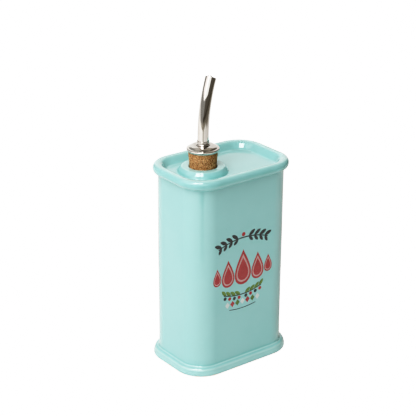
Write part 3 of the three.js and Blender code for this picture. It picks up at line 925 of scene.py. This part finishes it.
# White paper on a dark floor; to the camera all of it is one even white, as on a light table
def makeFloor():
    sockets = {"Roughness": 0.85, "Specular IOR Level": 0.2}
    material, tree, shader, where = startMaterial("paleFloor", sockets)
    colour = mixColour(tree, addMottle(tree, where, 3, 3, 0, 0.3), studio["paper"], studio["paperPatch"])
    ahead = addVectorMath(tree, "DOT_PRODUCT", where, studio["ahead"])
    aside = addVectorMath(tree, "DOT_PRODUCT", where, studio["aside"])
    left = addVectorMath(tree, "DOT_PRODUCT", where, studio["left"])
    # the paper ends in front and to the right, and a narrow dark wedge runs across it up to the front
    slant = addMath(tree, "DIVIDE", addMath(tree, "ABSOLUTE", aside), addMath(tree, "MAXIMUM", ahead, 0.01))
    gap = addMath(tree, "MULTIPLY", addRange(tree, slant, *studio["gapSlant"], 1, 0, True),
                  addEnd(tree, ahead, studio["gap"], studio["gapFade"]))
    # shade that the can throws behind itself
    shade = addVectorMath(tree, "DISTANCE", where, studio["shade"])
    ends = [addRange(tree, shade, *studio["shadeReach"], studio["shadeDepth"], 0, True),
            addEnd(tree, ahead, studio["front"], studio["fade"]),
            addEnd(tree, aside, studio["right"], studio["fade"]), gap]
    glow = 1.0
    for past in ends:
        colour = mixColour(tree, past, colour, studio["room"])
        glow = addMath(tree, "MULTIPLY", glow, addMath(tree, "SUBTRACT", 1.0, past))
    tree.links.new(colour, shader.inputs["Base Color"])
    shader.inputs["Emission Color"].default_value = (1, 1, 1, 1)
    # painted light: the paper itself glows, more towards the back left and far away, for the can to mirror
    # and be lit by
    lift = addRange(tree, left, *studio["leftFrom"], studio["glow"], studio["leftGlow"], True)
    reach = addVectorMath(tree, "LENGTH", where)
    far = addRange(tree, reach, *studio["farFrom"], 0, studio["farGlow"], True)
    edge = addMath(tree, "MULTIPLY", far, addRange(tree, left, *studio["farLeft"], 0, 1, True))
    strength = addMath(tree, "ADD", addMath(tree, "MULTIPLY", glow, lift), edge)
    tree.links.new(strength, shader.inputs["Emission Strength"])
    white = addNode(tree, "ShaderNodeEmission", {"Color": (1, 1, 1, 1), "Strength": studio["white"]})
    seen = addNode(tree, "ShaderNodeLightPath").outputs["Is Camera Ray"]
    both = addNode(tree, "ShaderNodeMixShader", {0: seen, 1: shader.outputs[0], 2: white.outputs[0]})
    tree.links.new(both.outputs[0], tree.nodes["Material Output"].inputs["Surface"])
    bm = bmesh.new()
    cells = studio["floorCells"]
    bmesh.ops.create_grid(bm, x_segments=cells, y_segments=cells, size=studio["floorSize"] / 2)
    mesh = bpy.data.meshes.new("paleFloor")
    bm.to_mesh(mesh)
    bm.free()
    mesh.materials.append(material)
    floor = bpy.data.objects.new("paleFloor", mesh)
    scene.collection.objects.link(floor)


# Compass angle (0 looks along +Y), height, distance, width, length, radiance and colour of each light
lamps = {
    "mainSoftbox": (-72, 61, 1.6, 0.38, 0.72, 14.5, (1, 1, 1)),
    "slimSoftbox": (-46, 61, 1.6, 0.24, 0.72, 14, (1, 1, 1)),
    "widePanel": (-51, 36, 1.7, 1.9, 1.05, 2.05, (0.95, 0.99, 1)),
    "sideSoftbox": (-100, 40, 1.5, 1.5, 1.2, 1.9, (1, 0.92, 0.915)),
    "backPanel": (142.4, 25, 3.0, 3.2, 2.9, 1.22, (1, 1, 1)),
    "upperPanel": (142.4, 68, 3.0, 3.0, 1.8, 0.40, (1, 0.92, 0.80)),
}
lampTarget = Vector((0, 0, 0.09))


def wayTo(azimuth, elevation):
    a, e = math.radians(azimuth), math.radians(elevation)
    return Vector((math.sin(a) * math.cos(e), -math.cos(a) * math.cos(e), math.sin(e)))


# A soft light of one radiance, aimed at the can
def addSoftbox(name, azimuth, elevation, distance, width, length, radiance, colour):
    back = wayTo(azimuth, elevation)
    data = bpy.data.lights.new(name, "AREA")
    data.shape = "RECTANGLE"
    data.size, data.size_y = width, length
    data.energy = math.pi * radiance * width * length
    data.color = colour
    light = bpy.data.objects.new(name, data)
    light.location = lampTarget + back * distance
    light.rotation_euler = back.to_track_quat("Z", "Y").to_euler()
    light.visible_camera = False
    scene.collection.objects.link(light)


def makeLights():
    for name, lamp in lamps.items():
        addSoftbox(name, *lamp)
    world = bpy.data.worlds.new("dimRoom")
    scene.world = world
    world.use_nodes = True
    tree = world.node_tree
    way = addNode(tree, "ShaderNodeTexCoord").outputs["Generated"]
    side = addVectorMath(tree, "DOT_PRODUCT", way, studio["roomSide"])
    share = addRange(tree, side, *studio["roomFade"], 0, 1, True)
    room = mixColour(tree, share, studio["rightRoom"], studio["leftRoom"])
    seen = addNode(tree, "ShaderNodeLightPath").outputs["Is Camera Ray"]
    white = (studio["white"], studio["white"], studio["white"], 1)
    tree.links.new(mixColour(tree, seen, room, white), tree.nodes["Background"].inputs["Color"])


filmTone = {"bend": 1.6, "stops": (0.03, 0.07, 0.12, 0.18, 0.25, 0.33, 0.42, 0.54, 0.68, 0.84)}


# Film-like curve with a soft toe and shoulder, so that bright glaze pales towards white
def setTone():
    view = scene.view_settings
    view.view_transform = "Standard"
    view.look = "None"
    view.use_curve_mapping = True
    curves = view.curve_mapping
    white, bend = studio["white"], filmTone["bend"]
    curves.white_level = (white, white, white)
    line = curves.curves[3]
    for x in filmTone["stops"]:
        line.points.new(x, (1 - math.exp(-(white * x) ** bend)) / (1 - math.exp(-white ** bend)))
    curves.update()


photoView = {
    "azimuth": -37.295, "elevation": 22.306, "roll": 0.354, "lens": 116.05, "sensor": 36, "reach": 50,
    "place": (-0.599529, -0.770594, 0.523899),
}


def makeCamera():
    a, r = math.radians(photoView["azimuth"]), math.radians(photoView["roll"])
    back = wayTo(photoView["azimuth"], photoView["elevation"])
    level = Vector((math.cos(a), math.sin(a), 0))
    rise = back.cross(level)
    right = math.cos(r) * level + math.sin(r) * rise
    up = math.cos(r) * rise - math.sin(r) * level
    data = bpy.data.cameras.new("photoCamera")
    data.sensor_fit = "HORIZONTAL"
    data.sensor_width = photoView["sensor"]
    data.lens = photoView["lens"]
    data.clip_end = photoView["reach"]
    camera = bpy.data.objects.new("photoCamera", data)
    place = Matrix((right, up, back)).transposed().to_4x4()
    place.translation = Vector(photoView["place"])
    camera.matrix_world = place
    scene.collection.objects.link(camera)
    scene.camera = camera


makeFloor()
makeLights()
setTone()
makeCamera()
print("studio ready")
